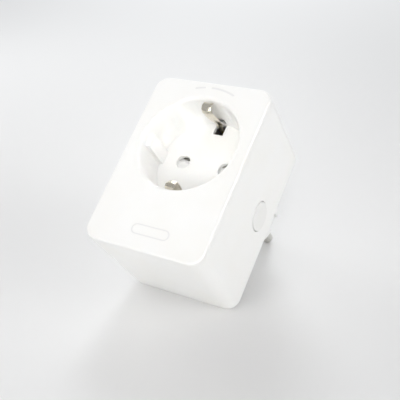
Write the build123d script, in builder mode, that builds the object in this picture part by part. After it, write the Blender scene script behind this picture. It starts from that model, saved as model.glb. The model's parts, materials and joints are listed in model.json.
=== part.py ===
from build123d import *

import os
from math import asin, atan2, cos, degrees, hypot, radians, sin

# Plug-in power meter: a switched adaptor with a side-earth outlet in its face and
# a side-earth plug on its back. Millimetres.
#
# The pieces are drawn with the face in the plane Z = 0, the outlet's centre at the
# origin, X to the right, Y up the face and Z out of it, so depths are negative.
# The last section lays the finished meter down, resting on its heel and its pins.

# ---- Driving dimensions ----------------------------------------------------------
# Case
face_width = 50.3
face_height = 72.7
socket_drop = 27.2  # outlet's centre below the top edge
side_taper = 0.95  # how far each side runs in at the back
heel = 0.4  # how far the underside runs out at the back
body_depth = 43.8
corner_r = 5.2
wall = 2.0
face_t = 2.1
face_edge_r = 0.7
back_edge_r = 0.6
seam_gap = 0.12
tongue_depth = 3.0
tongue_t = 1.2
fit_gap = 0.1  # between moulded pieces that seat in each other

# Outlet recess
recess_r = 19.8
recess_depth = 17.5
rim_r = 1.4
cup_wall = 1.6
floor_t = 1.5
pin_pitch = 19.0
pin_hole_r = 2.9
rib_face_x = 17.8
rib_width = 5.6
rib_drop = 3.8
earth_slot_half = 2.2
earth_window = 3.7  # how far the earth slots run up the cup's wall

# Plug
pin_r = 2.4
pin_length = 19.0
pin_tip_r = 1.2
pin_neck_r = 2.0
pin_root_gap = 0.3  # the pin's shoulder stands this far off the boss
boss_r = 18.6
boss_length = 17.5
boss_edge_r = 1.0
boss_bore_r = 14.0
boss_floor = 2.5
groove_width = 6.8
groove_floor_x = 16.8
earth_hole_y = 10.0
earth_hole_r = 2.6
channel_width = 5.0
channel_floor_y = 16.4

# Case screws
tube_gap = 0.2  # between a screw tube and the case wall
screw_split = 22.0  # depth where a front boss meets its rear tube
screw_r = 1.45
screw_length = 16.0
screw_head_r = 2.7
screw_head_t = 2.0
screw_seat_t = 2.6
screw_pilot_r = 1.2
boss_post_r = 3.0
tube_r = 3.8

# Shutter
spring_r = 3.1
wire_r = 0.22
spring_pitch = 0.6
spring_turns = 2.5
shutter_gap = 0.2
shutter_t = 1.8
shutter_inner_r = 3.6
shutter_outer_r = 13.3
shutter_half_angle = 12.7
shutter_ramp = 0.25  # rise over run of the ramps that the pins push
pivot_r = 1.5
running_gap = 0.05
hub_r = 2.4
cage_gap = 0.4
cage_t = 1.2
cage_ring_in_r = 13.75
cage_ring_out_r = 14.6
cage_tab_r = 2.7
cage_tab_at = 17.2

# Boards
board_t = 1.6
board_edge_gap = 0.6
board_standoff = 2.0

# Button
button_y = -10.3
button_flange = 1.1  # how far the flange stands out past the cap
button_r = 5.8
button_gap = 0.3
button_proud = 0.4
switch_size = 6.0
switch_height = 3.5
plunger_r = 1.7
plunger_height = 1.0

# Contacts
strip_t = 0.7
clip_width = 5.0
clip_pinch = 2.1  # half the gap between a clip's leaves
earth_width = 3.0
earth_t = 0.8

# Relay
relay_length = 29.0
relay_width = 12.7
relay_height = 15.7
relay_wall = 0.8
relay_side_gap = 0.9  # between the relay and the left wall
relay_tube_gap = 0.35  # between the relay and the screw tube below it

# ---- Levels and places worked out from them --------------------------------------
back_width = face_width - 2 * side_taper
half_pitch = pin_pitch / 2
floor_back = -(recess_depth + floor_t)
back_inner = -(body_depth - wall)
board_back = back_inner + board_standoff
board_front = board_back + board_t
seam_top = -face_t - seam_gap
boss_end = -(body_depth + boss_length)
boss_inner = boss_end + boss_floor
pin_tip = boss_end - pin_length
shutter_top = floor_back - shutter_gap
shutter_low = shutter_top - shutter_t
cage_top = shutter_low - cage_gap
cage_low = cage_top - cage_t
clip_top = cage_low - 0.6
face_low = socket_drop - face_height
screw_x = back_width / 2 - wall - tube_r - tube_gap
screw_top_y = socket_drop - wall - tube_r - tube_gap
screw_low_y = face_low + wall + tube_r + tube_gap
board_post_x = back_width / 2 - 5.6
board_post_y = 9.0
relay_x = -back_width / 2 + wall + relay_side_gap + relay_length / 2
relay_y = screw_low_y + tube_r + relay_tube_gap + relay_width / 2
screw_points = [(x, y) for x in (-screw_x, screw_x) for y in (screw_top_y, screw_low_y)]
cage_angles = (45, 225)
relay_base_t = 1.8
relay_floor = board_front + relay_base_t
relay_top = board_front + relay_height
coil_x = relay_x - 5.0
button_depth = -(board_front + button_r + button_flange + 1.0)
button_z = -button_depth
button_out = (face_width + (back_width - face_width) * button_depth / body_depth) / 2
button_pad_x = button_out - wall - 0.6
flange_out = button_pad_x - 0.05
flange_t = 0.9
stem_in = flange_out - flange_t - 0.65
switch_top = stem_in - 0.05 - plunger_height
switch_back = switch_top - switch_height
sideboard_t = 1.0

os.makedirs("parts", exist_ok=True)
pieces = {}


def keep(piece, name):
    """Labels a finished piece and keeps it for the last section."""
    piece.part.label = name
    pieces[name] = piece.part


def outline(z, inset):
    """The body's cross-section at height z, drawn in all round by an inset."""
    share = -z / body_depth
    width = face_width + (back_width - face_width) * share - 2 * inset
    low = face_low - heel * share + inset
    high = socket_drop - inset
    with BuildSketch(Plane.XY.offset(z)) as section:
        with Locations((0, (low + high) / 2)):
            RectangleRounded(width, high - low, corner_r - inset)
    return section.sketch


def body_block(top, bottom, inset, mode=Mode.ADD):
    """Adds or cuts the body's tapered form between two heights."""
    loft([outline(top, inset), outline(bottom, inset)], ruled=True, mode=mode)


def rod(x, y, top, bottom, radius, mode=Mode.ADD):
    """Adds or cuts a round rod that runs along Z."""
    with BuildSketch(Plane.XY.offset(top)) as disc:
        with Locations((x, y)):
            Circle(radius)
    extrude(disc.sketch, amount=bottom - top, mode=mode)


def bar(x, y, z, mode=Mode.ADD):
    """Adds or cuts a block between pairs of x, y and z."""
    with Locations((x[0], y[0], z[0])):
        Box(
            x[1] - x[0],
            y[1] - y[0],
            z[1] - z[0],
            align=(Align.MIN, Align.MIN, Align.MIN),
            mode=mode,
        )


def side_strip(points, x, width, thickness, bend_r, side=Side.LEFT):
    """Adds a bent strip whose profile lies in YZ, centred on x."""
    with BuildSketch(Plane.YZ.offset(x)) as profile:
        with BuildLine():
            path = FilletPolyline(*points, radius=bend_r)
            offset(path, amount=thickness, side=side)
        make_face()
    extrude(profile.sketch, amount=width / 2, both=True)


# ---- Case ------------------------------------------------------------------------
with BuildPart() as front_cover:
    body_block(0, -face_t, 0)
    fillet(front_cover.edges().group_by(Axis.Z)[-1], face_edge_r)
    # Tongue that locates inside the rear housing
    body_block(-face_t, -face_t - tongue_depth, wall + fit_gap)
    body_block(-face_t, -face_t - tongue_depth, wall + fit_gap + tongue_t, Mode.SUBTRACT)
    # Recess cup with a rounded rim
    rod(0, 0, -face_t / 2, floor_back, recess_r + cup_wall)
    rod(0, 0, 0, -recess_depth, recess_r, Mode.SUBTRACT)
    rim = front_cover.edges().filter_by(GeomType.CIRCLE).group_by(Axis.Z)[-1]
    fillet(rim.filter_by(lambda edge: abs(edge.radius - recess_r) < 0.01), rim_r)
    # Guide ribs at both sides
    for side in (-1, 1):
        with BuildSketch(Plane.XY.offset(-recess_depth)) as rib:
            with Locations((side * (rib_face_x + recess_r + cup_wall / 2) / 2, 0)):
                Rectangle(recess_r + cup_wall / 2 - rib_face_x, rib_width)
        extrude(rib.sketch, amount=recess_depth - rib_drop)
    # Pin holes, countersunk a little, and slots for the earth springs
    for side in (-1, 1):
        rod(side * half_pitch, 0, -recess_depth, floor_back, pin_hole_r, Mode.SUBTRACT)
        slot_x = (-earth_slot_half, earth_slot_half)
        slot_y = sorted((side * (recess_r - 5.2), side * (recess_r - 0.2)))
        bar(slot_x, slot_y, (floor_back, -recess_depth), Mode.SUBTRACT)
        window_y = sorted((side * (recess_r - 1.0), side * (recess_r + cup_wall + 0.4)))
        window_z = (-recess_depth, -recess_depth + earth_window)
        bar(slot_x, window_y, window_z, Mode.SUBTRACT)
    hole_rims = front_cover.edges().filter_by(GeomType.CIRCLE)
    hole_rims = hole_rims.filter_by(lambda edge: abs(edge.radius - pin_hole_r) < 0.01)
    chamfer(hole_rims.group_by(Axis.Z)[-1], 0.2)
    # Shutter pivot and the posts that hold its cage
    rod(0, 0, floor_back, cage_low - 2.6, pivot_r)
    for angle in cage_angles:
        post = (cage_tab_at * cos(radians(angle)), cage_tab_at * sin(radians(angle)))
        rod(*post, floor_back, cage_top, 2.5)
        rod(*post, floor_back + 1.2, cage_top, 0.8, Mode.SUBTRACT)
    # Screw bosses
    for point in screw_points:
        rod(*point, -face_t, -screw_split, boss_post_r)
        rod(*point, -face_t - 4, -screw_split, screw_pilot_r, Mode.SUBTRACT)
    # Plain engraved marks: two arcs over the outlet and a capsule below it
    for start, sweep_angle in ((66, 25), (97, 10)):
        with BuildSketch(Plane.XY) as arc_mark:
            with BuildLine():
                mark = CenterArc((0, 0), recess_r + 4.6, start, sweep_angle)
                offset(mark, amount=0.8, side=Side.RIGHT)
            make_face()
        extrude(arc_mark.sketch, amount=-0.1, mode=Mode.SUBTRACT)
    with BuildSketch(Plane.XY) as capsule_mark:
        with Locations((1.5, -37.6)):
            SlotOverall(16, 4.2)
            SlotOverall(15, 3.2, mode=Mode.SUBTRACT)
    extrude(capsule_mark.sketch, amount=-0.1, mode=Mode.SUBTRACT)
keep(front_cover, "front_cover")

with BuildPart() as rear_housing:
    body_block(seam_top, -body_depth, 0)
    fillet(rear_housing.edges().group_by(Axis.Z)[0], back_edge_r)
    body_block(seam_top, back_inner, wall, Mode.SUBTRACT)
    # Plug boss, hollow behind its end wall
    with BuildSketch(Plane.XY.offset(boss_end)) as boss:
        Circle(boss_r)
    extrude(boss.sketch, amount=boss_length + wall / 2)
    fillet(rear_housing.edges().group_by(Axis.Z)[0], boss_edge_r)
    rod(0, 0, back_inner, boss_inner, boss_bore_r, Mode.SUBTRACT)
    # Grooves for a wall outlet's guide ribs, and channels for the earth contacts
    for side in (-1, 1):
        groove_x = sorted((side * groove_floor_x, side * (boss_r + 1)))
        groove_y = (-groove_width / 2, groove_width / 2)
        bar(groove_x, groove_y, (boss_end, -body_depth), Mode.SUBTRACT)
        channel_y = sorted((side * channel_floor_y, side * (boss_r + 1)))
        channel_x = (-channel_width / 2, channel_width / 2)
        bar(channel_x, channel_y, (boss_end, -body_depth), Mode.SUBTRACT)
        slot_y = sorted((side * (channel_floor_y + 0.2), side * (channel_floor_y + 1.4)))
        bar((-2.1, 2.1), slot_y, (-body_depth, back_inner), Mode.SUBTRACT)
        rod(side * half_pitch, 0, boss_inner, boss_end, pin_neck_r, Mode.SUBTRACT)
    rod(0, earth_hole_y, boss_inner, boss_end, earth_hole_r, Mode.SUBTRACT)
    # Screw tubes: a deep counterbore, then the seat under the screw's head
    for point in screw_points:
        rod(*point, -screw_split, -body_depth + wall / 2, tube_r)
        rod(*point, -screw_split - screw_seat_t, -body_depth, 3.0, Mode.SUBTRACT)
        rod(*point, -screw_split, -screw_split - screw_seat_t, 1.6, Mode.SUBTRACT)
    # Posts under the main board
    for side in (-1, 1):
        rod(side * board_post_x, board_post_y, board_back, back_inner - wall / 2, 2.6)
        rod(side * board_post_x, board_post_y, board_back, back_inner - 0.8, 0.9, Mode.SUBTRACT)
    # Button hole through a flat pad in the right wall
    with BuildSketch(Plane.YZ.offset(button_pad_x)) as pad:
        with Locations((button_y, button_z)):
            Circle(button_r + button_flange + 1.3)
    extrude(pad.sketch, amount=wall)
    with BuildSketch(Plane.YZ.offset(button_pad_x)) as button_hole:
        with Locations((button_y, button_z)):
            Circle(button_r + button_gap)
    extrude(button_hole.sketch, amount=2 * wall + 2, mode=Mode.SUBTRACT)
keep(rear_housing, "rear_housing")

with BuildPart() as case_screws:
    head_low = -screw_split - screw_seat_t - screw_head_t
    with BuildSketch(Plane.XZ) as screw_profile:
        with BuildLine():
            Polyline(
                (0, head_low),
                (screw_head_r, head_low),
                (screw_head_r, head_low + screw_head_t),
                (screw_r, head_low + screw_head_t),
                (screw_r, head_low + screw_head_t + screw_length - 1.5),
                (0, head_low + screw_head_t + screw_length),
                (0, head_low),
            )
        make_face()
    screw_form = revolve(screw_profile.sketch, Axis.Z, mode=Mode.PRIVATE)
    with Locations(*[(x, y, 0) for x, y in screw_points]):
        add(screw_form)
    with Locations(*[(x, y, head_low) for x, y in screw_points]):
        Box(3.2, 0.7, 2.4, mode=Mode.SUBTRACT)
        Box(0.7, 3.2, 2.4, mode=Mode.SUBTRACT)
keep(case_screws, "case_screws")

# ---- Shutter behind the pin holes ------------------------------------------------
with BuildPart() as shutter:
    with BuildSketch(Plane.XY.offset(shutter_low)) as blade:
        for middle in (0, 180):
            with BuildLine():
                low, high = middle - shutter_half_angle, middle + shutter_half_angle
                outer = CenterArc((0, 0), shutter_outer_r, low, high - low)
                inner = CenterArc((0, 0), shutter_inner_r, low, high - low)
                Line(outer @ 0, inner @ 0)
                Line(outer @ 1, inner @ 1)
            make_face()
        Circle(shutter_inner_r + 0.6)
    extrude(blade.sketch, amount=shutter_t)
    rod(0, 0, shutter_low, cage_low - 2.2, hub_r)
    rod(0, 0, shutter_top, cage_low - 2.2, pivot_r + running_gap, Mode.SUBTRACT)
    # Ramps that a pair of pins pushes aside
    for side in (-1, 1):
        ramp_plane = Plane(origin=(side * half_pitch, 0, shutter_top), z_dir=(0, -side * shutter_ramp, 1))
        with BuildSketch(ramp_plane) as ramp:
            Circle(3.3)
        extrude(ramp.sketch, amount=2, mode=Mode.SUBTRACT)
keep(shutter, "shutter")

with BuildPart() as shutter_cage:
    with BuildSketch(Plane.XY.offset(cage_low)) as cage_plate:
        Circle(cage_ring_out_r)
        for angle in cage_angles:
            with PolarLocations(cage_tab_at, 1, start_angle=angle):
                Circle(cage_tab_r)
            with PolarLocations(cage_tab_at / 2 + 5, 1, start_angle=angle):
                Rectangle(cage_tab_at - 6, 2 * cage_tab_r)
        for side in (-1, 1):
            with Locations((side * half_pitch, 0)):
                Circle(pin_hole_r + 0.3, mode=Mode.SUBTRACT)
        Circle(hub_r + button_gap, mode=Mode.SUBTRACT)
        with PolarLocations(cage_tab_at, 2, start_angle=cage_angles[0]):
            Circle(1.15, mode=Mode.SUBTRACT)
    extrude(cage_plate.sketch, amount=cage_t)
    # Wall round the shutter, open at the earth slots
    with BuildSketch(Plane.XY.offset(cage_top)) as cage_ring:
        Circle(cage_ring_out_r)
        Circle(cage_ring_in_r, mode=Mode.SUBTRACT)
        Rectangle(8, 2 * cage_ring_out_r, mode=Mode.SUBTRACT)
    extrude(cage_ring.sketch, amount=floor_back - cage_top)
    # Peg that holds the spring's fixed leg
    rod(-spring_r - wire_r - 0.85, -7.0, cage_low, cage_low - 1.6, 0.8)
keep(shutter_cage, "shutter_cage")

with BuildPart() as cage_screws:
    for angle in cage_angles:
        place = (cage_tab_at * cos(radians(angle)), cage_tab_at * sin(radians(angle)))
        rod(*place, cage_low, cage_low - 1.3, 1.9)
        rod(*place, floor_back + 0.9 - 1.0, cage_low, 0.8)
keep(cage_screws, "cage_screws")

with BuildPart() as shutter_spring:
    spring_start = cage_low - 0.35 - spring_pitch * spring_turns
    with BuildLine() as coil:
        Helix(
            pitch=spring_pitch,
            height=spring_pitch * spring_turns,
            radius=spring_r,
            center=(0, 0, spring_start),
        )
    with BuildSketch(Plane(origin=coil.line @ 0, z_dir=coil.line % 0)) as wire:
        Circle(wire_r)
    sweep(wire.sketch, path=coil.line, is_frenet=True)
    # Fixed leg, a straight tangent that runs along the cage past its peg
    leg_way = coil.line % 1
    with BuildSketch(Plane(origin=coil.line @ 1, z_dir=(leg_way.X, leg_way.Y, 0))) as leg:
        Circle(wire_r)
    extrude(leg.sketch, amount=8.0)
keep(shutter_spring, "shutter_spring")

# ---- Contacts --------------------------------------------------------------------
clip_points = [
    (clip_pinch + 1.1, clip_top),
    (clip_pinch, clip_top - 2.4),
    (clip_pinch, clip_top - 6.6),
    (clip_pinch + 0.8, clip_top - 9.6),
    (clip_pinch + 0.8, board_front + strip_t),
]
clip_points += [(-y, z) for y, z in reversed(clip_points)]

for side, name in ((-1, "outlet_clip_neutral"), (1, "outlet_clip_live")):
    with BuildPart() as outlet_clip:
        side_strip(clip_points, side * half_pitch, clip_width, strip_t, 0.6)
    keep(outlet_clip, name)

# An earth spring leaves the cup's wall, bows out to a nose, slopes back and then
# runs straight down through the floor and the board to the earth bridge.
spring_root_y = recess_r - 0.5
spring_nose_y = recess_r - 4.7
stem_y = recess_r - 2.3
stem_foot = -recess_depth + 2.5
earth_profile = [
    (spring_root_y, -1.7),
    (spring_nose_y, -4.2),
    (stem_y + 0.4, stem_foot + 2.2),
    (stem_y, stem_foot),
    (stem_y, back_inner + earth_t),
]
bridge_top = back_inner + earth_t

for side, name in ((1, "earth_spring_top"), (-1, "earth_spring_bottom")):
    with BuildPart() as earth_spring:
        profile = [(side * y, z) for y, z in earth_profile]
        turn = Side.LEFT if side > 0 else Side.RIGHT
        side_strip(profile, 0, earth_width, earth_t / 2, 0.4, turn)
        # Cheeks folded back to the wall
        for cheek in (-1, 1):
            cheek_x = cheek * (earth_width - 0.5) / 2
            with BuildSketch(Plane.YZ.offset(cheek_x)) as cheek_face:
                with BuildLine():
                    Polyline(
                        (side * (spring_root_y - 0.1), -1.8),
                        (side * (spring_nose_y + 0.1), -4.2),
                        (side * (stem_y + 0.5), stem_foot + 2.2),
                        (side * spring_root_y, stem_foot + 2.2),
                        close=True,
                    )
                make_face()
            extrude(cheek_face.sketch, amount=0.25, both=True)
    keep(earth_spring, name)

with BuildPart() as earth_bridge:
    bridge_reach = stem_y + 1.2
    with BuildSketch(Plane.XY.offset(back_inner)) as bridge:
        Rectangle(6, 2 * bridge_reach)
        with Locations((0, earth_hole_y)):
            Circle(5)
    extrude(bridge.sketch, amount=earth_t)
    for side in (-1, 1):
        slot_y = sorted((side * (channel_floor_y + 0.2), side * (channel_floor_y + 1.0)))
        bar((-1.8, 1.8), slot_y, (back_inner, bridge_top), Mode.SUBTRACT)
keep(earth_bridge, "earth_bridge")

for side, name in ((1, "plug_earth_top"), (-1, "plug_earth_bottom")):
    with BuildPart() as plug_earth:
        root = channel_floor_y + 0.2
        strip_points = [
            (root, bridge_top),
            (root, -body_depth - 3.0),
            (root + 1.2, -body_depth - 9.0),
            (root, boss_end + 2.2),
            (root - 0.1, boss_end + 1.2),
        ]
        profile = [(side * y, z) for y, z in strip_points]
        turn = Side.LEFT if side > 0 else Side.RIGHT
        side_strip(profile, 0, 3.6, earth_t, 0.8, turn)
    keep(plug_earth, name)

with BuildPart() as earth_pin_socket:
    rod(0, earth_hole_y, back_inner, boss_inner, 3.4)
    rod(0, earth_hole_y, back_inner - 1, boss_inner, earth_hole_r, Mode.SUBTRACT)
    bar((-0.4, 0.4), (earth_hole_y - 4, earth_hole_y + 4), (boss_inner, -52), Mode.SUBTRACT)
keep(earth_pin_socket, "earth_pin_socket")

for side, name in ((-1, "plug_pin_neutral"), (1, "plug_pin_live")):
    with BuildPart() as plug_pin:
        at = side * half_pitch
        rod(at, 0, boss_end - pin_root_gap, pin_tip, pin_r)
        fillet(plug_pin.edges().group_by(Axis.Z)[0], pin_tip_r)
        rod(at, 0, boss_inner, boss_end - pin_root_gap, pin_neck_r)
        rod(at, 0, boss_inner + 1.5, boss_inner, 3.5)
        rod(at, 0, board_back, boss_inner + 1.5, 1.5)
    keep(plug_pin, name)

# ---- Boards ----------------------------------------------------------------------
with BuildPart() as main_board:
    body_block(board_front, board_back, wall + board_edge_gap)
    for point in screw_points:
        rod(*point, board_front, board_back, tube_r + 0.4, Mode.SUBTRACT)
        # The corner outside the tube is cut away with it
        corner_x = sorted((point[0], point[0] * 1.5))
        corner_y = sorted((point[1], point[1] * 1.3))
        bar(corner_x, corner_y, (board_back, board_front), Mode.SUBTRACT)
    for side in (-1, 1):
        rod(side * board_post_x, board_post_y, board_front, board_back, 1.2, Mode.SUBTRACT)
        slot_y = sorted((side * (stem_y - 0.8), side * (stem_y + 0.8)))
        bar((-2.0, 2.0), slot_y, (board_back, board_front), Mode.SUBTRACT)
keep(main_board, "main_board")

with BuildPart() as board_screws:
    for side in (-1, 1):
        rod(side * board_post_x, board_post_y, board_front + 1.6, board_front, 2.1)
        rod(side * board_post_x, board_post_y, board_front, back_inner - 0.6, 0.9)
    post_heads = [(side * board_post_x, board_post_y, board_front + 1.6) for side in (-1, 1)]
    with Locations(*post_heads):
        Box(2.6, 0.6, 1.4, mode=Mode.SUBTRACT)
        Box(0.6, 2.6, 1.4, mode=Mode.SUBTRACT)
keep(board_screws, "board_screws")

with BuildPart() as line_busbar:
    with BuildSketch(Plane.XY.offset(board_back)) as line_bar:
        with Locations((half_pitch, -11)):
            SlotCenterToCenter(22, 5.5, rotation=90)
        with Locations((half_pitch, 0)):
            Circle(1.5, mode=Mode.SUBTRACT)
    extrude(line_bar.sketch, amount=-strip_t)
keep(line_busbar, "line_busbar")

with BuildPart() as load_busbar:
    load_low = relay_y + relay_width / 2 + 0.7
    load_z = (board_front, board_front + 0.8)
    load_x = (half_pitch - 1.5, half_pitch + 1.5)
    bar(load_x, (load_low, -clip_pinch - 0.8 - strip_t), load_z)
    bar((-1, half_pitch - 1.5), (load_low, load_low + 2.5), load_z)
keep(load_busbar, "load_busbar")

with BuildPart() as button_board:
    sideboard_x = (switch_back - sideboard_t, switch_back)
    bar(sideboard_x, (button_y - 6.5, button_y + 6.5), (board_front, button_z + 6.3))
keep(button_board, "button_board")

with BuildPart() as radio_board:
    radio_front = relay_y - relay_width / 2 - 1.25
    bar((-13, 13), (radio_front, radio_front + 0.8), (board_front, board_front + 30.2))
keep(radio_board, "radio_board")

# ---- Button ----------------------------------------------------------------------
with BuildPart() as button_cap:
    with BuildSketch(Plane.YZ.offset(stem_in)) as stem:
        with Locations((button_y, button_z)):
            Circle(2.0)
    extrude(stem.sketch, amount=flange_out - stem_in)
    with BuildSketch(Plane.YZ.offset(flange_out - flange_t)) as flange:
        with Locations((button_y, button_z)):
            Circle(button_r + button_flange)
    extrude(flange.sketch, amount=flange_t)
    with BuildSketch(Plane.YZ.offset(flange_out)) as head:
        with Locations((button_y, button_z)):
            Circle(button_r)
    extrude(head.sketch, amount=button_out + button_proud - flange_out)
    fillet(button_cap.edges().group_by(Axis.X)[-1], 0.35)
keep(button_cap, "button_cap")

with BuildPart() as switch_body:
    half = switch_size / 2
    half_z = (button_z - half, button_z + half)
    bar((switch_back, switch_top), (button_y - half, button_y + half), half_z)
    fillet(switch_body.edges().filter_by(Axis.X), 0.4)
    with BuildSketch(Plane.YZ.offset(switch_top)) as plunger_bore:
        with Locations((button_y, button_z)):
            Circle(plunger_r + 0.3)
    extrude(plunger_bore.sketch, amount=-2.0, mode=Mode.SUBTRACT)
keep(switch_body, "switch_body")

with BuildPart() as switch_plunger:
    with BuildSketch(Plane.YZ.offset(switch_top - 1.2)) as plunger:
        with Locations((button_y, button_z)):
            Circle(plunger_r)
    extrude(plunger.sketch, amount=1.2 + plunger_height)
    fillet(switch_plunger.edges().group_by(Axis.X)[-1], 0.2)
keep(switch_plunger, "switch_plunger")

with BuildPart() as switch_dome:
    with BuildSketch(Plane.YZ.offset(switch_top - 2.0)) as dome:
        with Locations((button_y, button_z)):
            Circle(plunger_r + 0.2)
    extrude(dome.sketch, amount=0.15)
keep(switch_dome, "switch_dome")

with BuildPart() as status_leds:
    for z in (button_z - 5.0, button_z + 4.2):
        led_x = (switch_back, switch_back + 1.1)
        bar(led_x, (button_y - 0.8, button_y + 0.8), (z - 0.4, z + 1.2))
keep(status_leds, "status_leds")

# ---- Relay -----------------------------------------------------------------------
with BuildPart() as relay_cover:
    length = relay_length
    x_ends = (relay_x - length / 2, relay_x + length / 2)
    y_ends = (relay_y - relay_width / 2, relay_y + relay_width / 2)
    bar(x_ends, y_ends, (board_front, relay_top))
    fillet(relay_cover.edges().filter_by(Axis.Z), 0.8)
    fillet(relay_cover.edges().group_by(Axis.Z)[-1], 0.5)
    x_in = (x_ends[0] + relay_wall, x_ends[1] - relay_wall)
    y_in = (y_ends[0] + relay_wall, y_ends[1] - relay_wall)
    bar(x_in, y_in, (board_front, relay_top - relay_wall), Mode.SUBTRACT)
keep(relay_cover, "relay_cover")

with BuildPart() as relay_base:
    x_base = (x_in[0] + fit_gap, x_in[1] - fit_gap)
    y_base = (y_in[0] + fit_gap, y_in[1] - fit_gap)
    bar(x_base, y_base, (board_front, relay_floor))
keep(relay_base, "relay_base")

yoke_t = 1.2
bobbin_low = relay_floor + yoke_t
bobbin_top = bobbin_low + 8.4
pole_top = bobbin_top + 0.5
yoke_x = coil_x - 6.4
armature_low = pole_top + 0.75
yoke_y = (relay_y - 3.6, relay_y + 3.6)
with BuildPart() as relay_yoke:
    bar((yoke_x, coil_x + 4), yoke_y, (relay_floor, bobbin_low))
    bar((yoke_x, yoke_x + yoke_t), yoke_y, (relay_floor, armature_low - 0.1))
    rod(coil_x, relay_y, bobbin_low, relay_floor, 1.8, Mode.SUBTRACT)
keep(relay_yoke, "relay_yoke")

with BuildPart() as relay_bobbin:
    rod(coil_x, relay_y, bobbin_top, bobbin_low, 2.5)
    rod(coil_x, relay_y, bobbin_low + 0.8, bobbin_low, 4.9)
    rod(coil_x, relay_y, bobbin_top, bobbin_top - 0.8, 4.9)
    rod(coil_x, relay_y, bobbin_top, bobbin_low, 1.8, Mode.SUBTRACT)
keep(relay_bobbin, "relay_bobbin")

with BuildPart() as relay_winding:
    rod(coil_x, relay_y, bobbin_top - 0.8, bobbin_low + 0.8, 4.6)
    rod(coil_x, relay_y, bobbin_top - 0.8, bobbin_low + 0.8, 2.5, Mode.SUBTRACT)
keep(relay_winding, "relay_winding")

with BuildPart() as relay_core:
    rod(coil_x, relay_y, bobbin_top, relay_floor, 1.8)
    rod(coil_x, relay_y, pole_top, bobbin_top, 3.2)
keep(relay_core, "relay_core")

# The armature rests open, level above the pole, and turns down about the yoke's top.
contact_x = relay_x + 9.0
with BuildPart() as relay_armature:
    armature_y = (relay_y - 3.4, relay_y + 3.4)
    bar((yoke_x + 0.2, coil_x + 4.4), armature_y, (armature_low, armature_low + yoke_t))
keep(relay_armature, "relay_armature")

with BuildPart() as contact_blade:
    blade_z = armature_low + yoke_t
    contact_y = (relay_y - 2.4, relay_y + 2.4)
    bar((yoke_x + 1.5, contact_x + 1.8), contact_y, (blade_z, blade_z + 0.3))
keep(contact_blade, "contact_blade")

with BuildPart() as moving_contact:
    rod(contact_x, relay_y, blade_z, blade_z - 1.2, 1.5)
keep(moving_contact, "moving_contact")

fixed_top = blade_z - 1.2 - 1.5
with BuildPart() as fixed_contact:
    rod(contact_x, relay_y, fixed_top, fixed_top - 1.0, 1.5)
keep(fixed_contact, "fixed_contact")

with BuildPart() as contact_post:
    post_top = fixed_top - 1.0
    bar((contact_x - 1.8, contact_x + 3.0), contact_y, (post_top - 0.8, post_top))
    bar((contact_x + 2.2, contact_x + 3.0), contact_y, (relay_floor, post_top))
keep(contact_post, "contact_post")

# ---- Supply and metering parts on the main board ---------------------------------
# Sizes of common parts, grouped by the case edge that they stand near.


def on_board(x, y, low, high, mode=Mode.ADD):
    """Adds or cuts a block between two heights over the main board."""
    bar(x, y, (board_front + low, board_front + high), mode)


transformer_x, transformer_y = back_width / 2 - 9.0, relay_y
core_x = (transformer_x - 6, transformer_x + 6)
core_y = (transformer_y - 3, transformer_y + 3)
with BuildPart() as transformer_core:
    on_board(core_x, core_y, 1.2, 11.2)
    for side in (-1, 1):
        window_x = sorted((transformer_x + side * 2.2, transformer_x + side * 4.4))
        on_board(window_x, core_y, 3.2, 9.2, Mode.SUBTRACT)
keep(transformer_core, "transformer_core")

with BuildPart() as transformer_coil:
    coil_y = (transformer_y - 5, transformer_y + 5)
    on_board((transformer_x - 4.2, transformer_x + 4.2), coil_y, 3.4, 9.0)
    fillet(transformer_coil.edges().filter_by(Axis.Z), 1.2)
    on_board((transformer_x - 2.2, transformer_x + 2.2), core_y, 3.4, 9.0, Mode.SUBTRACT)
keep(transformer_coil, "transformer_coil")

with BuildPart() as transformer_base:
    on_board(core_x, (transformer_y - 5.4, transformer_y + 5.4), 0, 1.2)
keep(transformer_base, "transformer_base")

with BuildPart() as supply_capacitors:
    for x in (-9.0, -1.0, 8.0):
        rod(x, face_low + 5.5, board_front + 11.5, board_front, 3.15)
    fillet(supply_capacitors.edges().group_by(Axis.Z)[-1], 0.5)
keep(supply_capacitors, "supply_capacitors")

with BuildPart() as suppression_capacitor:
    on_board((-8.5, 8.5), (7.6, 13.0), 0, 11)
    fillet(suppression_capacitor.edges().group_by(Axis.Z)[-1], 0.6)
keep(suppression_capacitor, "suppression_capacitor")

with BuildPart() as surge_varistor:
    with BuildSketch(Plane.XZ.offset(-15.8)) as disc_face:
        with Locations((-13.6, board_front + 5.4)):
            Circle(4.4)
    extrude(disc_face.sketch, amount=3.2)
    fillet(surge_varistor.edges(), 0.9)
    for x in (-16.1, -11.1):
        rod(x, 14.2, board_front + 3.0, board_front, 0.4)
keep(surge_varistor, "surge_varistor")

with BuildPart() as fuse:
    on_board((11.0, 15.6), (11.6, 16.2), 0, 8)
    fillet(fuse.edges().filter_by(Axis.Z), 1.0)
keep(fuse, "fuse")

choke_x, choke_y = 8.5, socket_drop - 7.6
with BuildPart() as filter_choke:
    rod(choke_x, choke_y, board_front + 7.5, board_front, 2.0)
    rod(choke_x, choke_y, board_front + 1.0, board_front, 4.0)
    rod(choke_x, choke_y, board_front + 7.5, board_front + 6.5, 4.0)
keep(filter_choke, "filter_choke")

with BuildPart() as choke_winding:
    rod(choke_x, choke_y, board_front + 6.5, board_front + 1.0, 3.6)
    rod(choke_x, choke_y, board_front + 6.5, board_front + 1.0, 2.0, Mode.SUBTRACT)
keep(choke_winding, "choke_winding")

with BuildPart() as bridge_rectifier:
    on_board((-13.2, -5.0), (socket_drop - 10.2, socket_drop - 3.8), 0, 3.3)
    chamfer(bridge_rectifier.edges().group_by(Axis.Z)[-1], 0.4)
keep(bridge_rectifier, "bridge_rectifier")

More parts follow.
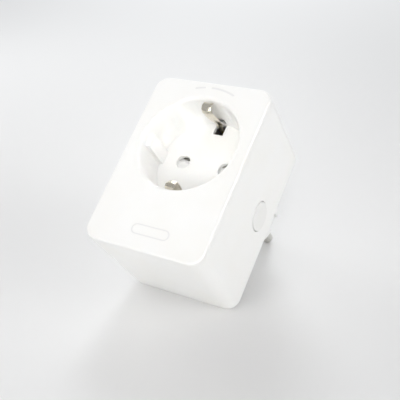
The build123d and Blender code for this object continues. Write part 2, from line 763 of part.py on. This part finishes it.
with BuildPart() as supply_controller:
    on_board((-19.0, -9.6), (-17.5, -11.1), 0, 3.4)
    chamfer(supply_controller.edges().group_by(Axis.Z)[-1], 0.4)
keep(supply_controller, "supply_controller")

with BuildPart() as metering_chip:
    on_board((-7.0, 3.3), (-16.5, -9.0), 0, 2.4)
    chamfer(metering_chip.edges().group_by(Axis.Z)[-1], 0.3)
keep(metering_chip, "metering_chip")

with BuildPart() as current_shunt:
    with BuildSketch(Plane.XZ.offset(6.0)) as shunt_profile:
        with BuildLine():
            path = FilletPolyline(
                (-4.5, board_front),
                (-4.5, board_front + 4),
                (4.5, board_front + 4),
                (4.5, board_front),
                radius=1.5,
            )
            offset(path, amount=0.8, side=Side.RIGHT)
        make_face()
    extrude(shunt_profile.sketch, amount=3)
keep(current_shunt, "current_shunt")

# The radio board stands up below the relay, with its parts on its lower face.
shield_t = 0.3
shield_y = (radio_front - 2.2, radio_front)
with BuildPart() as radio_shield:
    on_board((-7, 7), shield_y, 13.2, 28.2)
    fillet(radio_shield.edges().filter_by(Axis.Y), 0.8)
    inside_x = (-7 + shield_t, 7 - shield_t)
    inside_y = (shield_y[0] + shield_t, radio_front)
    on_board(inside_x, inside_y, 13.2 + shield_t, 28.2 - shield_t, Mode.SUBTRACT)
keep(radio_shield, "radio_shield")

with BuildPart() as radio_chip:
    on_board((-3, 3), (radio_front - 0.9, radio_front), 17.2, 23.2)
keep(radio_chip, "radio_chip")

with BuildPart() as radio_antenna:
    on_board((8.6, 11.4), (radio_front - 1.0, radio_front), 20.2, 27.2)
keep(radio_antenna, "radio_antenna")

# ---- Resting pose ----------------------------------------------------------------
# The meter lies face up on two lines: the rounded heel at the back of its underside
# and the rounded tips of the plug pins. The tilt is the angle of their tangent.
heel_y, heel_z = face_low - heel + back_edge_r, -body_depth + back_edge_r
tip_y, tip_z = -(pin_r - pin_tip_r), pin_tip + pin_tip_r
rest_span = hypot(tip_y - heel_y, tip_z - heel_z)
rest_tilt = degrees(
    atan2(heel_z - tip_z, tip_y - heel_y) + asin((pin_tip_r - back_edge_r) / rest_span)
)
turned = Compound([Rot(X=rest_tilt) * piece for piece in pieces.values()])
box = turned.bounding_box()
middle_y = (box.min.Y + box.max.Y) / 2
rest = Pos(0, -middle_y, -box.min.Z) * Rot(X=rest_tilt)

for name, piece in pieces.items():
    laid = rest * piece
    laid.label = name
    export_step(laid, f"parts/{name}.step")
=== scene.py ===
import json
import math

import bmesh
import bpy
from mathutils import Matrix, Vector


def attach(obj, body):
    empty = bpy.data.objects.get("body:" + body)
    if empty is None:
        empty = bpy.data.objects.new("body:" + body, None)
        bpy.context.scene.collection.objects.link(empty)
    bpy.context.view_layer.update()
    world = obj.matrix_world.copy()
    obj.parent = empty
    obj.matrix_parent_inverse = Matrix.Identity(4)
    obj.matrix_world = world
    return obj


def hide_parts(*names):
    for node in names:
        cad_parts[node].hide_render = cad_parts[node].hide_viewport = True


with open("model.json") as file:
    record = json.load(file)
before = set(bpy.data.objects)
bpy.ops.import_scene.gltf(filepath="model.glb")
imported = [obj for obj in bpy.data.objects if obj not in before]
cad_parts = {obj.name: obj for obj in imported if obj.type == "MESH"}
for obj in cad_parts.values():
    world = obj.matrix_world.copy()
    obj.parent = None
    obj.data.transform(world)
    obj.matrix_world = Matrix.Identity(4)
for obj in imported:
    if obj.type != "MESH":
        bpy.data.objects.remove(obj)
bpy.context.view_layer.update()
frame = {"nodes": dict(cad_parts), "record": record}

MM = 0.001

# ---- The meter's own directions ------------------------------------------------------
# The record's outlet mount gives the bottom of the recess and the way out of the face.
# FACE takes a point drawn on the face (x right, y up the face, z out of it, in metres
# from the outlet's centre) to its place in the resting meter.
RECESS_DEPTH = 17.5 * MM
mounts = {mount["name"]: mount for mount in frame["record"]["mounts"]}
out_of_face = Vector(mounts["outlet"]["axis"]).normalized()
right = Vector((1, 0, 0))
up_face = out_of_face.cross(right)
outlet_centre = Vector(mounts["outlet"]["pos_m"]) + out_of_face * RECESS_DEPTH
FACE = Matrix((right, up_face, out_of_face)).transposed().to_4x4()
FACE.translation = outlet_centre
TILT = math.atan2(-out_of_face.y, out_of_face.z)


# ---- Shader maths --------------------------------------------------------------------
class Value:
    """A shader socket that takes part in Python arithmetic."""

    def __init__(self, maker, socket):
        self.maker, self.socket = maker, socket

    def _maths(self, operation, *others):
        return self.maker.node("ShaderNodeMath", {"operation": operation}, self, *others)

    def __add__(self, other):
        return self._maths("ADD", other)

    def __radd__(self, other):
        return self._maths("ADD", other)

    def __sub__(self, other):
        return self._maths("SUBTRACT", other)

    def __rsub__(self, other):
        return self.maker.node("ShaderNodeMath", {"operation": "SUBTRACT"}, other, self)

    def __mul__(self, other):
        return self._maths("MULTIPLY", other)

    def __rmul__(self, other):
        return self._maths("MULTIPLY", other)

    def above(self, edge):
        return self._maths("GREATER_THAN", edge)

    def below(self, edge):
        return self._maths("LESS_THAN", edge)

    def size(self):
        return self._maths("ABSOLUTE")

    def wave(self):
        return self._maths("SINE")


class Finish:
    """One material under construction: a Principled shader and the nodes that feed it."""

    def __init__(self, name, **constants):
        self.material = bpy.data.materials.new(name)
        self.material.use_nodes = True
        self.tree = self.material.node_tree
        self.shader = self.tree.nodes["Principled BSDF"]
        for socket, value in constants.items():
            self.set(socket.replace("_", " "), value)

    @classmethod
    def reopen(cls, material):
        """Takes up a finished material again, to add to it."""
        finish = cls.__new__(cls)
        finish.material, finish.tree = material, material.node_tree
        finish.shader = finish.tree.nodes["Principled BSDF"]
        return finish

    def set(self, socket, value):
        if isinstance(value, Value):
            self.tree.links.new(value.socket, self.shader.inputs[socket])
        else:
            self.shader.inputs[socket].default_value = value

    def node(self, kind, settings=None, *inputs, out=0, **named):
        """Adds a node: its settings first, then its inputs by place or by name."""
        made = self.tree.nodes.new(kind)
        for setting, value in (settings or {}).items():
            setattr(made, setting, value)
        for place, value in [*enumerate(inputs), *named.items()]:
            key = place.replace("_", " ") if isinstance(place, str) else place
            if isinstance(value, Value):
                self.tree.links.new(value.socket, made.inputs[key])
            elif value is not None:
                made.inputs[key].default_value = value
        return Value(self, made.outputs[out])

    def place(self, stretch=(1, 1, 1)):
        """Object coordinates in metres, turned back so that they follow the meter."""
        coordinates = self.node("ShaderNodeTexCoord", out="Object")
        moved = self.node(
            "ShaderNodeMapping",
            {"vector_type": "POINT"},
            Vector=coordinates,
            Location=tuple(-(FACE.to_3x3().inverted() @ outlet_centre)),
            Rotation=(-TILT, 0, 0),
        )
        return self.node("ShaderNodeVectorMath", {"operation": "MULTIPLY"}, moved, stretch)

    def axes(self):
        """The three coordinates, along the meter's own directions, in metres."""
        split = self.tree.nodes.new("ShaderNodeSeparateXYZ")
        self.tree.links.new(self.place().socket, split.inputs[0])
        return [Value(self, output) for output in split.outputs]

    def noise(self, scale, detail=2.0, roughness=0.5, stretch=(1, 1, 1)):
        place = self.place(stretch)
        return self.node(
            "ShaderNodeTexNoise", None, Vector=place, Scale=scale, Detail=detail, Roughness=roughness
        )

    def cells(self, scale):
        return self.node("ShaderNodeTexVoronoi", {"feature": "F1"}, Vector=self.place(), Scale=scale)

    def fade(self, value, low, high, start=0.0, end=1.0):
        """Spreads value from the range low..high to start..end, held at both ends."""
        return self.node("ShaderNodeMapRange", {"clamp": True}, value, low, high, start, end)

    def blend(self, share, first, second):
        """A colour between two colours."""
        mix = self.tree.nodes.new("ShaderNodeMix")
        mix.data_type = "RGBA"
        for socket, value in ((mix.inputs[0], share), (mix.inputs[6], first), (mix.inputs[7], second)):
            if isinstance(value, Value):
                self.tree.links.new(value.socket, socket)
            else:
                socket.default_value = (*value, 1)[:4] if hasattr(value, "__len__") else value
        return Value(self, mix.outputs[2])

    def bump(self, height, distance, strength=1.0):
        """Raises the surface by height times distance, in metres."""
        made = self.node("ShaderNodeBump", None, Strength=strength, Distance=distance, Height=height)
        self.set("Normal", made)


# ---- Finishes ------------------------------------------------------------------------
# Noise scales are per metre; grain and bump distances are in metres.
DRAWN = (1, 1, 0.06)  # stretches noise into lines drawn along a strip or rod


def moulded_white(name, colour, grain, roughness):
    """White moulding: fine spark-eroded grain, soft flow marks and faint handling marks."""
    finish = Finish(name, IOR=1.5, Subsurface_Weight=0.12, Subsurface_Scale=0.0015)
    finish.shader.inputs["Subsurface Radius"].default_value = (1.0, 0.9, 0.8)
    flow = finish.noise(60, 3)
    handled = finish.noise(220, 4, 0.6)
    fine = finish.noise(9000, 2, 0.6)
    warm = tuple(channel * shade for channel, shade in zip(colour, (0.985, 0.98, 0.965)))
    finish.set("Base Color", finish.blend(finish.fade(flow, 0.35, 0.7), (*colour, 1), (*warm, 1)))
    finish.set("Roughness", roughness + 0.10 * (handled - 0.5) + 0.05 * (fine - 0.5))
    finish.bump(fine + 0.3 * finish.noise(2500, 2), grain)
    return finish.material


def engraved_white(name, colour):
    """The case's white for the front cover, with painted shade in grey in its shallow engraved marks.
    """
    material = moulded_white(name, colour, 3e-6, 0.42)
    finish = Finish.reopen(material)
    x, y, z = finish.axes()
    sunk = (z * -1).above(0.05 * MM) * z.above(-0.14 * MM)
    inside_edges = x.size().below(23.9 * MM) * y.below(26.0 * MM) * y.above(-44.3 * MM)
    outside_rim = (x * x + y * y).above((22.2 * MM) ** 2)
    # The grey laid on the sunk marks is painted shade, standing for the shade in their shallow
    # grooves.
    mark = sunk * inside_edges * outside_rim
    plain = Value(finish, finish.shader.inputs["Base Color"].links[0].from_socket)
    finish.set("Base Color", finish.blend(mark, plain, (0.84, 0.84, 0.84)))
    return material


def smooth_plastic(name, colour, roughness=0.4, grain=2e-6, speckle=0.06):
    """Plain moulded plastic: slight clouding in its colour and a fine grain."""
    finish = Finish(name, IOR=1.48)
    cloud = finish.noise(400, 4)
    dark = tuple(channel * (1 - speckle * 3) for channel in colour)
    finish.set("Base Color", finish.blend(cloud, (*colour, 1), (*dark, 1)))
    finish.set("Roughness", roughness + 0.2 * (finish.noise(900, 3) - 0.5))
    finish.bump(finish.noise(7000, 2), grain)
    return finish.material


def plated_metal(name, colour, tarnish, roughness=0.26):
    """Plated strip or rod: drawn lines along its length, clouds of tarnish, small nicks."""
    finish = Finish(name, Metallic=1.0, IOR=1.8)
    lines = finish.noise(9000, 3, 0.7, DRAWN)
    cloud = finish.noise(300, 4, 0.65)
    nick = finish.fade(finish.cells(1400), 0.0, 0.12, 1.0, 0.0)
    share = finish.fade(cloud, 0.42, 0.72) * 0.5
    finish.set("Base Color", finish.blend(share, (*colour, 1), (*tarnish, 1)))
    finish.set("Roughness", roughness + 0.16 * (lines - 0.5) + 0.22 * share)
    finish.bump(lines * 0.5 - nick * 0.4, 6e-6)
    return finish.material


def machined_steel(name, colour):
    """Zinc-plated screw steel: fine turning marks and a yellowish bloom."""
    finish = Finish(name, Metallic=1.0, IOR=2.2)
    bloom = finish.noise(500, 4)
    gold = (colour[0] * 1.02, colour[1] * 0.94, colour[2] * 0.78)
    finish.set("Base Color", finish.blend(finish.fade(bloom, 0.45, 0.7), (*colour, 1), (*gold, 1)))
    finish.set("Roughness", 0.3 + 0.25 * (finish.noise(4000, 3) - 0.5))
    finish.bump(finish.noise(14000, 2, 0.6, (1, 1, 0.2)), 5e-6)
    return finish.material


def solder_mask(name, spacing=1.27 * MM):
    """Circuit board: green mask over copper tracks, with rows of tinned pads."""
    finish = Finish(name, IOR=1.5, Coat_Roughness=0.15)
    x, y, z = finish.axes()
    weave = finish.noise(5000, 2, 0.6, (1, 0.2, 1))
    tracks = finish.fade((((x + y * 0.5) * (math.pi / (2.2 * MM))).wave()).size(), 0.55, 0.62)
    patches = finish.fade(finish.cells(160), 0.0016, 0.0022)
    copper = finish.fade(finish.noise(120, 1), 0.50, 0.52) * tracks
    green = finish.blend(copper, (0.012, 0.10, 0.045, 1), (0.03, 0.19, 0.075, 1))
    dots_x = ((x * (math.pi / spacing)).wave()).size().above(0.93)
    dots_y = ((y * (math.pi / spacing)).wave()).size().above(0.93)
    pads = dots_x * dots_y * finish.fade(finish.noise(90, 1), 0.55, 0.56)
    finish.set("Base Color", finish.blend(pads, green, (0.72, 0.70, 0.66, 1)))
    finish.set("Metallic", pads)
    finish.set("Roughness", 0.32 + 0.1 * (weave - 0.5) + 0.05 * patches)
    finish.set("Coat Weight", 0.4 - 0.4 * pads)
    finish.bump(copper * 0.6 + pads + 0.1 * weave, 2e-5)
    return finish.material


def wound_wire(name, colour, pitch=0.16 * MM, along=2):
    """Enamelled wire laid in turns, seen as fine ridges across the coil, with painted shade in the
    grooves between turns.
    """
    finish = Finish(name, Metallic=0.6, Coat_Roughness=0.12)
    place = finish.axes()[along]
    turn = (place * (2 * math.pi / pitch)).wave()
    deep = tuple(channel * 0.35 for channel in colour)
    # The darker colour in each groove between turns is painted shade; the wire's own colour is even.
    finish.set("Base Color", finish.blend(finish.fade(turn, -1, 0.3), (*deep, 1), (*colour, 1)))
    finish.set("Roughness", 0.34 + 0.08 * (finish.noise(3000, 2) - 0.5))
    finish.set("Coat Weight", 0.6 + 0.2 * (finish.noise(900, 2) - 0.5))
    finish.bump(turn, 4e-5)
    return finish.material


def glazed(name, colour, roughness=0.18):
    """Dipped or fired body with a thick, slightly rippled gloss."""
    finish = Finish(name, IOR=1.52, Coat_Roughness=0.06)
    ripple = finish.noise(350, 3)
    deep = tuple(channel * 0.8 for channel in colour)
    finish.set("Base Color", finish.blend(ripple, (*colour, 1), (*deep, 1)))
    finish.set("Roughness", roughness + 0.1 * (ripple - 0.5))
    finish.set("Coat Weight", 0.5 + 0.2 * (finish.noise(600, 2) - 0.5))
    finish.bump(ripple, 6e-5)
    return finish.material


WHITE = (0.945, 0.945, 0.935)
finishes = {
    "white_case": moulded_white("white_case", WHITE, 3e-6, 0.42),
    "white_button": moulded_white("white_button", (0.885, 0.885, 0.875), 1e-6, 0.3),
    "shutter_plastic": smooth_plastic("shutter_plastic", (0.86, 0.86, 0.85), 0.35, 1e-6, 0.02),
    "natural_plastic": smooth_plastic("natural_plastic", (0.72, 0.70, 0.62), 0.45),
    "black_plastic": smooth_plastic("black_plastic", (0.022, 0.022, 0.024), 0.45, 4e-6, 0.1),
    "relay_plastic": smooth_plastic("relay_plastic", (0.02, 0.035, 0.09), 0.3, 2e-6, 0.1),
    "nickel": plated_metal("nickel", (0.76, 0.72, 0.63), (0.46, 0.40, 0.29), 0.22),
    "spring_steel": plated_metal("spring_steel", (0.56, 0.56, 0.57), (0.38, 0.37, 0.35), 0.3),
    "screw_steel": machined_steel("screw_steel", (0.55, 0.55, 0.54)),
    "copper": plated_metal("copper", (0.72, 0.42, 0.26), (0.42, 0.22, 0.13), 0.3),
    "winding_copper": wound_wire("winding_copper", (0.55, 0.20, 0.07)),
    "silver_contact": plated_metal("silver_contact", (0.80, 0.79, 0.76), (0.5, 0.48, 0.44), 0.22),
    "soft_iron": plated_metal("soft_iron", (0.42, 0.42, 0.42), (0.28, 0.26, 0.24), 0.42),
    "board_green": solder_mask("board_green"),
    "ferrite": smooth_plastic("ferrite", (0.035, 0.035, 0.038), 0.6, 2e-5, 0.12),
    "capacitor_sleeve": glazed("capacitor_sleeve", (0.02, 0.025, 0.06), 0.28),
    "capacitor_box": glazed("capacitor_box", (0.62, 0.46, 0.06), 0.3),
    "varistor_blue": glazed("varistor_blue", (0.04, 0.11, 0.36)),
    "ceramic_white": glazed("ceramic_white", (0.75, 0.76, 0.72)),
    "led_lens": glazed("led_lens", (0.75, 0.78, 0.66), 0.1),
}

front_white = engraved_white("front_white", WHITE)
pin_nickel = plated_metal("pin_nickel", (0.74, 0.73, 0.70), (0.50, 0.48, 0.44), 0.26)
slot_of = {part["node"]: part["material_slot"] for part in frame["record"]["subparts"]}
for node, part in frame["nodes"].items():
    for material_slot in part.material_slots:
        material_slot.material = finishes[slot_of[node]]
for material_slot in frame["nodes"]["front_cover"].material_slots:
    material_slot.material = front_white
for node in ("plug_pin_live", "plug_pin_neutral"):
    for material_slot in frame["nodes"][node].material_slots:
        material_slot.material = pin_nickel


# ---- Pieces that stand for plainer ones of the frame ---------------------------------
def finished_piece(name, shape, material, body):
    """Turns a shape drawn on the face, in millimetres, into a piece at its place."""
    bmesh.ops.transform(shape, matrix=FACE @ Matrix.Scale(MM, 4), verts=shape.verts)
    mesh = bpy.data.meshes.new(name)
    shape.to_mesh(mesh)
    shape.free()
    for face in mesh.polygons:
        face.use_smooth = True
    piece = bpy.data.objects.new(name, mesh)
    bpy.context.scene.collection.objects.link(piece)
    mesh.materials.append(material)
    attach(piece, body)
    return piece


def add_modifier(piece, kind, **settings):
    modifier = piece.modifiers.new(kind.lower(), kind)
    for setting, value in settings.items():
        setattr(modifier, setting, value)


# Each step down an earth spring: y from the centre, z from the face, width, crown.
LEAF_STEPS = (
    (19.6, -2.3, 3.6, 0.35),
    (19.0, -1.6, 4.0, 0.6),
    (17.8, -1.5, 4.3, 0.9),
    (16.7, -2.3, 4.5, 1.1),
    (16.3, -3.7, 4.5, 1.2),
    (16.5, -5.2, 4.5, 1.2),
    (17.0, -7.6, 4.4, 1.2),
    (17.5, -10.0, 4.3, 1.1),
    (18.0, -12.4, 4.0, 0.9),
    (18.4, -14.2, 3.6, 0.6),
    (18.2, -16.0, 2.8, 0.3),
    (17.5, -18.5, 2.4, 0.1),
    (17.5, -41.0, 2.4, 0.1),
)


def earth_leaf(name, side, node):
    """A crowned leaf: bows out of the recess wall, then runs straight down to its root."""
    shape = bmesh.new()
    y, z, width, crown = LEAF_STEPS[0]
    across = [math.radians(angle) for angle in range(-80, 81, 20)]
    row = [
        shape.verts.new((width / 2 * math.sin(t), side * (y - crown * math.cos(t)), z))
        for t in across
    ]
    edges = [shape.edges.new(pair) for pair in zip(row, row[1:])]
    for next_y, next_z, next_width, next_crown in LEAF_STEPS[1:]:
        grown = bmesh.ops.extrude_edge_only(shape, edges=edges)["geom"]
        row = [part for part in grown if isinstance(part, bmesh.types.BMVert)]
        edges = [
            part
            for part in grown
            if isinstance(part, bmesh.types.BMEdge) and all(end in row for end in part.verts)
        ]
        bmesh.ops.scale(
            shape,
            vec=(next_width / width, next_crown / crown, 1),
            space=Matrix.Translation((0, -side * y, 0)),
            verts=row,
        )
        bmesh.ops.translate(shape, vec=(0, side * (next_y - y), next_z - z), verts=row)
        y, z, width, crown = next_y, next_z, next_width, next_crown
    bmesh.ops.recalc_face_normals(shape, faces=shape.faces)
    leaf = finished_piece(name, shape, finishes["nickel"], "case")
    add_modifier(leaf, "SOLIDIFY", thickness=0.35 * MM, offset=0)
    add_modifier(leaf, "BEVEL", width=0.08 * MM, segments=2)
    add_modifier(leaf, "SUBSURF", levels=2, render_levels=2)
    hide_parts(node)


earth_leaf("earth_leaf_top", 1, "earth_spring_top")
earth_leaf("earth_leaf_bottom", -1, "earth_spring_bottom")


# ---- Camera, floor and light ---------------------------------------------------------
def soft_light(name, place, at, size, power, colour, spread):
    lamp = bpy.data.lights.new(name, "AREA")
    lamp.shape, lamp.size, lamp.energy, lamp.color = "DISK", size, power, colour
    lamp.spread = spread
    made = bpy.data.objects.new(name, lamp)
    bpy.context.scene.collection.objects.link(made)
    made.location = place
    made.rotation_euler = (Vector(at) - made.location).to_track_quat("-Z", "Y").to_euler()


# Where the camera stands and which way is right and down in its picture, on the face.
CAMERA_PLACE = Vector((131.5, -102.9, 200.1)) * MM
CAMERA_RIGHT = Vector((0.8577, 0.3816, -0.3445))
CAMERA_DOWN = Vector((0.1968, -0.8628, -0.4656))
camera_data = bpy.data.cameras.new("camera")
camera_data.sensor_width, camera_data.lens = 36, 62.88
camera_data.clip_start, camera_data.clip_end = 0.01, 20
camera = bpy.data.objects.new("camera", camera_data)
bpy.context.scene.collection.objects.link(camera)
bpy.context.scene.camera = camera
camera_axes = Matrix((CAMERA_RIGHT, -CAMERA_DOWN, CAMERA_RIGHT.cross(-CAMERA_DOWN))).transposed()
camera.location = FACE @ CAMERA_PLACE
camera.rotation_euler = (FACE.to_3x3() @ camera_axes).to_euler()

FLOOR_SIDE = 8  # metres
bpy.ops.mesh.primitive_plane_add(size=FLOOR_SIDE, location=(0, 0, 0))
floor = bpy.context.object
floor.name = "floor"
paper = Finish("floor_paper", Roughness=0.55)
paper.set("Base Color", (0.80, 0.80, 0.80, 1))
floor.data.materials.append(paper.material)

world = bpy.data.worlds.new("studio")
bpy.context.scene.world = world
world.use_nodes = True
background = world.node_tree.nodes["Background"]
background.inputs["Color"].default_value = (1, 1, 1, 1)
background.inputs["Strength"].default_value = 0.463
CASE_MIDDLE = (0, 0, 0.03)
NEUTRAL, WARM, COOL = (1, 1, 1), (1, 0.993, 0.98), (0.95, 0.975, 1)
WIDE = math.pi
STUDIO_LIGHTS = (
    # name, place, aim, size in metres, power in watts, colour, spread in radians
    ("front_spot", (0.3, -0.6, 0.5), (-0.02, 0.02, 0.05), 0.1, 0.0215, WARM, 0.35),
    ("softbox_right", (0.6, 0.0, 0.35), CASE_MIDDLE, 0.4, 1.38, NEUTRAL, WIDE),
    ("softbox_left", (-0.5, 0.1, 0.35), (-0.05, 0.03, 0), 0.3, 0.75, NEUTRAL, WIDE),
    ("softbox_low", (0.05, -0.5, 0.1), CASE_MIDDLE, 0.35, 0.85, WARM, WIDE),
    ("softbox_far", (-0.5, 0.9, 0.8), (-0.3, 0.6, 0), 0.5, 5.2, COOL, WIDE),
    ("floor_pool", (-0.1, 0.45, 0.9), (-0.03, 0.03, 0), 0.3, 0.0066, NEUTRAL, 0.6),
)
for light in STUDIO_LIGHTS:
    soft_light(*light)

# Two rings of narrow beams look down into the recess from all round, as a large soft
# light over the face would: the steep ring for its floor, the low ring for its wall.
BEAM_RINGS = (
    # name, lean from the recess's axis, aim below the face, size, power, spread,
    # and how much stronger the beams from the left and the right are
    ("floor", 30, 12 * MM, 0.022, 3.2e-5, 0.03, 0.0),
    ("wall", 58, 0.0, 0.014, 1.1e-4, 0.02, 0.6),
)
BEAMS = 8  # in each ring
BEAM_REACH = 0.4  # from a beam's lamp to where it is aimed
for ring, lean, below_face, size, power, spread, from_sides in BEAM_RINGS:
    target = outlet_centre - out_of_face * below_face
    lean = math.radians(lean)
    for beam in range(BEAMS):
        turn = 2 * math.pi * beam / BEAMS
        around = right * math.cos(turn) + up_face * math.sin(turn)
        way = out_of_face * math.cos(lean) + around * math.sin(lean)
        share = power * (1 + from_sides * abs(math.cos(turn)))
        beam_name = f"{ring}_beam_{beam + 1}"
        soft_light(beam_name, target + BEAM_REACH * way, target, size, share, WARM, spread)

# One more, from below, for the stretch of wall that the top earth leaf shades.
BESIDE_LEAF = FACE @ (Vector((9, 17, -7)) * MM)
from_below = out_of_face * 0.6 + right * 0.1 - up_face * 0.79
leaf_beam_place = BESIDE_LEAF + from_below * BEAM_REACH
soft_light("leaf_beam", leaf_beam_place, BESIDE_LEAF, 0.016, 1.2e-4, WARM, 0.02)

bpy.context.scene.view_settings.view_transform = "Standard"
